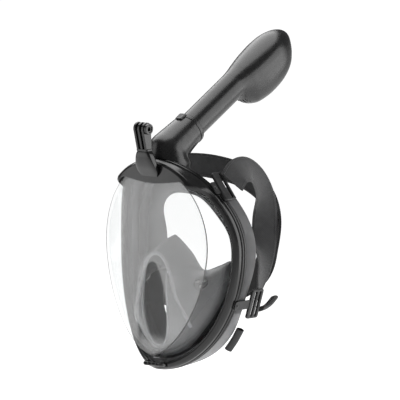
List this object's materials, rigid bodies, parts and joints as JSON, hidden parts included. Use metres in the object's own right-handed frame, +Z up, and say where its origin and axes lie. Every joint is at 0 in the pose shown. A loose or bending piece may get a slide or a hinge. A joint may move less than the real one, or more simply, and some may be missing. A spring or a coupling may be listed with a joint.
{
  "type": "full face snorkel",
  "caption": "Full face snorkel mask: wide clear lens in a black frame, silicone face seal, dry-top snorkel, camera tongue and webbing head straps.",
  "frame": {"origin": "middle of the opening that seals on the face", "axes": "+Z up, the lens faces -Y, +X to the wearer's left"},
  "size_m": [0.184, 0.2562, 0.3779],
  "materials": {
    "clear_polycarbonate": "clear and polished",
    "black_plastic": "black, slightly glossy",
    "satin_black_plastic": "black, satin",
    "black_silicone": "soft, matte",
    "soft_valve_rubber": "soft, matte",
    "strap_webbing": "woven black webbing",
    "stainless_steel": "satin",
    "float_plastic": "matte"
  },
  "bodies": {
    "mask": {"lens": "clear_polycarbonate", "front_frame": "black_plastic", "rear_frame": "black_plastic", "face_skirt": "black_silicone", "nose_pocket": "black_silicone", "inhale_valve_seat_left": "black_plastic", "inhale_valve_seat_right": "black_plastic", "chin_valve_seat": "black_plastic", "chin_valve_cover": "black_plastic", "exhale_duct_left": "black_silicone", "exhale_duct_right": "black_silicone", "snorkel_socket": "satin_black_plastic", "button_spring": "stainless_steel", "brow_crest": "black_plastic", "camera_mount": "black_plastic", "mount_nut": "stainless_steel", "upper_strap_lug_left": "black_plastic", "upper_strap_lug_right": "black_plastic", "lower_buckle_left": "black_plastic", "lower_buckle_right": "black_plastic", "head_strap_left": "strap_webbing", "head_strap_right": "strap_webbing", "strap_stitched_patch": "strap_webbing", "strap_tail_left": "strap_webbing", "strap_tail_right": "strap_webbing", "strap_tip_left": "black_plastic", "strap_tip_right": "black_plastic", "skirt_pull_tab_left": "black_silicone", "skirt_pull_tab_right": "black_silicone", "frame_screw_left_022": "stainless_steel", "frame_screw_left_078": "stainless_steel", "frame_screw_left_142": "stainless_steel", "frame_screw_right_022": "stainless_steel", "frame_screw_right_078": "stainless_steel", "frame_screw_right_142": "stainless_steel", "upper_lug_pin_left": "stainless_steel", "upper_lug_pin_right": "stainless_steel", "lower_buckle_pin_left": "stainless_steel", "lower_buckle_pin_right": "stainless_steel"},
    "snorkel": {"snorkel_tube": "satin_black_plastic", "spigot_o_ring": "soft_valve_rubber", "airflow_divider": "satin_black_plastic", "dry_top_shell": "satin_black_plastic", "intake_grille": "black_plastic", "float_seat": "black_plastic", "float_guide": "black_plastic"},
    "float_body": {"float": "float_plastic", "float_seal": "soft_valve_rubber"},
    "button": {"release_button": "black_plastic"},
    "inhale_valve_left": {"inhale_flap_left": "soft_valve_rubber"},
    "inhale_valve_right": {"inhale_flap_right": "soft_valve_rubber"},
    "exhale_valve_left": {"exhale_flap_left": "soft_valve_rubber"},
    "exhale_valve_right": {"exhale_flap_right": "soft_valve_rubber"},
    "chin_valve": {"chin_valve_flap": "soft_valve_rubber"}
  },
  "joints": [
    {"name": "snorkel_pull_off", "type": "slide", "parent": "mask", "child": "snorkel", "axis": [0, 0.866, 0.5], "range_m": [0, 0.028]},
    {"name": "float_rise", "type": "slide", "parent": "snorkel", "child": "float_body", "axis": [0, 0.866, 0.5], "range_m": [0, 0.0124]},
    {"name": "button_press", "type": "slide", "parent": "mask", "child": "button", "axis": [0, 0.5, -0.866], "range_m": [0, 0.0014], "stiffness_N_per_m": 300, "springref_m": -0.001},
    {"name": "inhale_flap_lift_left", "type": "slide", "parent": "mask", "child": "inhale_valve_left", "axis": [-0.3323, 0.6701, -0.6637], "range_m": [0, 0.0014], "stiffness_N_per_m": 60, "springref_m": -0.0005},
    {"name": "inhale_flap_lift_right", "type": "slide", "parent": "mask", "child": "inhale_valve_right", "axis": [0.3323, 0.6701, -0.6637], "range_m": [0, 0.0014], "stiffness_N_per_m": 60, "springref_m": -0.0005},
    {"name": "exhale_flap_lift_left", "type": "slide", "parent": "mask", "child": "exhale_valve_left", "axis": [0.188, 0.1042, 0.9766], "range_m": [0, 0.0014], "stiffness_N_per_m": 60, "springref_m": -0.0005},
    {"name": "exhale_flap_lift_right", "type": "slide", "parent": "mask", "child": "exhale_valve_right", "axis": [-0.188, 0.1042, 0.9766], "range_m": [0, 0.0014], "stiffness_N_per_m": 60, "springref_m": -0.0005},
    {"name": "chin_flap_drop", "type": "slide", "parent": "mask", "child": "chin_valve", "axis": [0, 0, -1], "range_m": [0, 0.0014], "stiffness_N_per_m": 60, "springref_m": -0.0005}
  ]
}
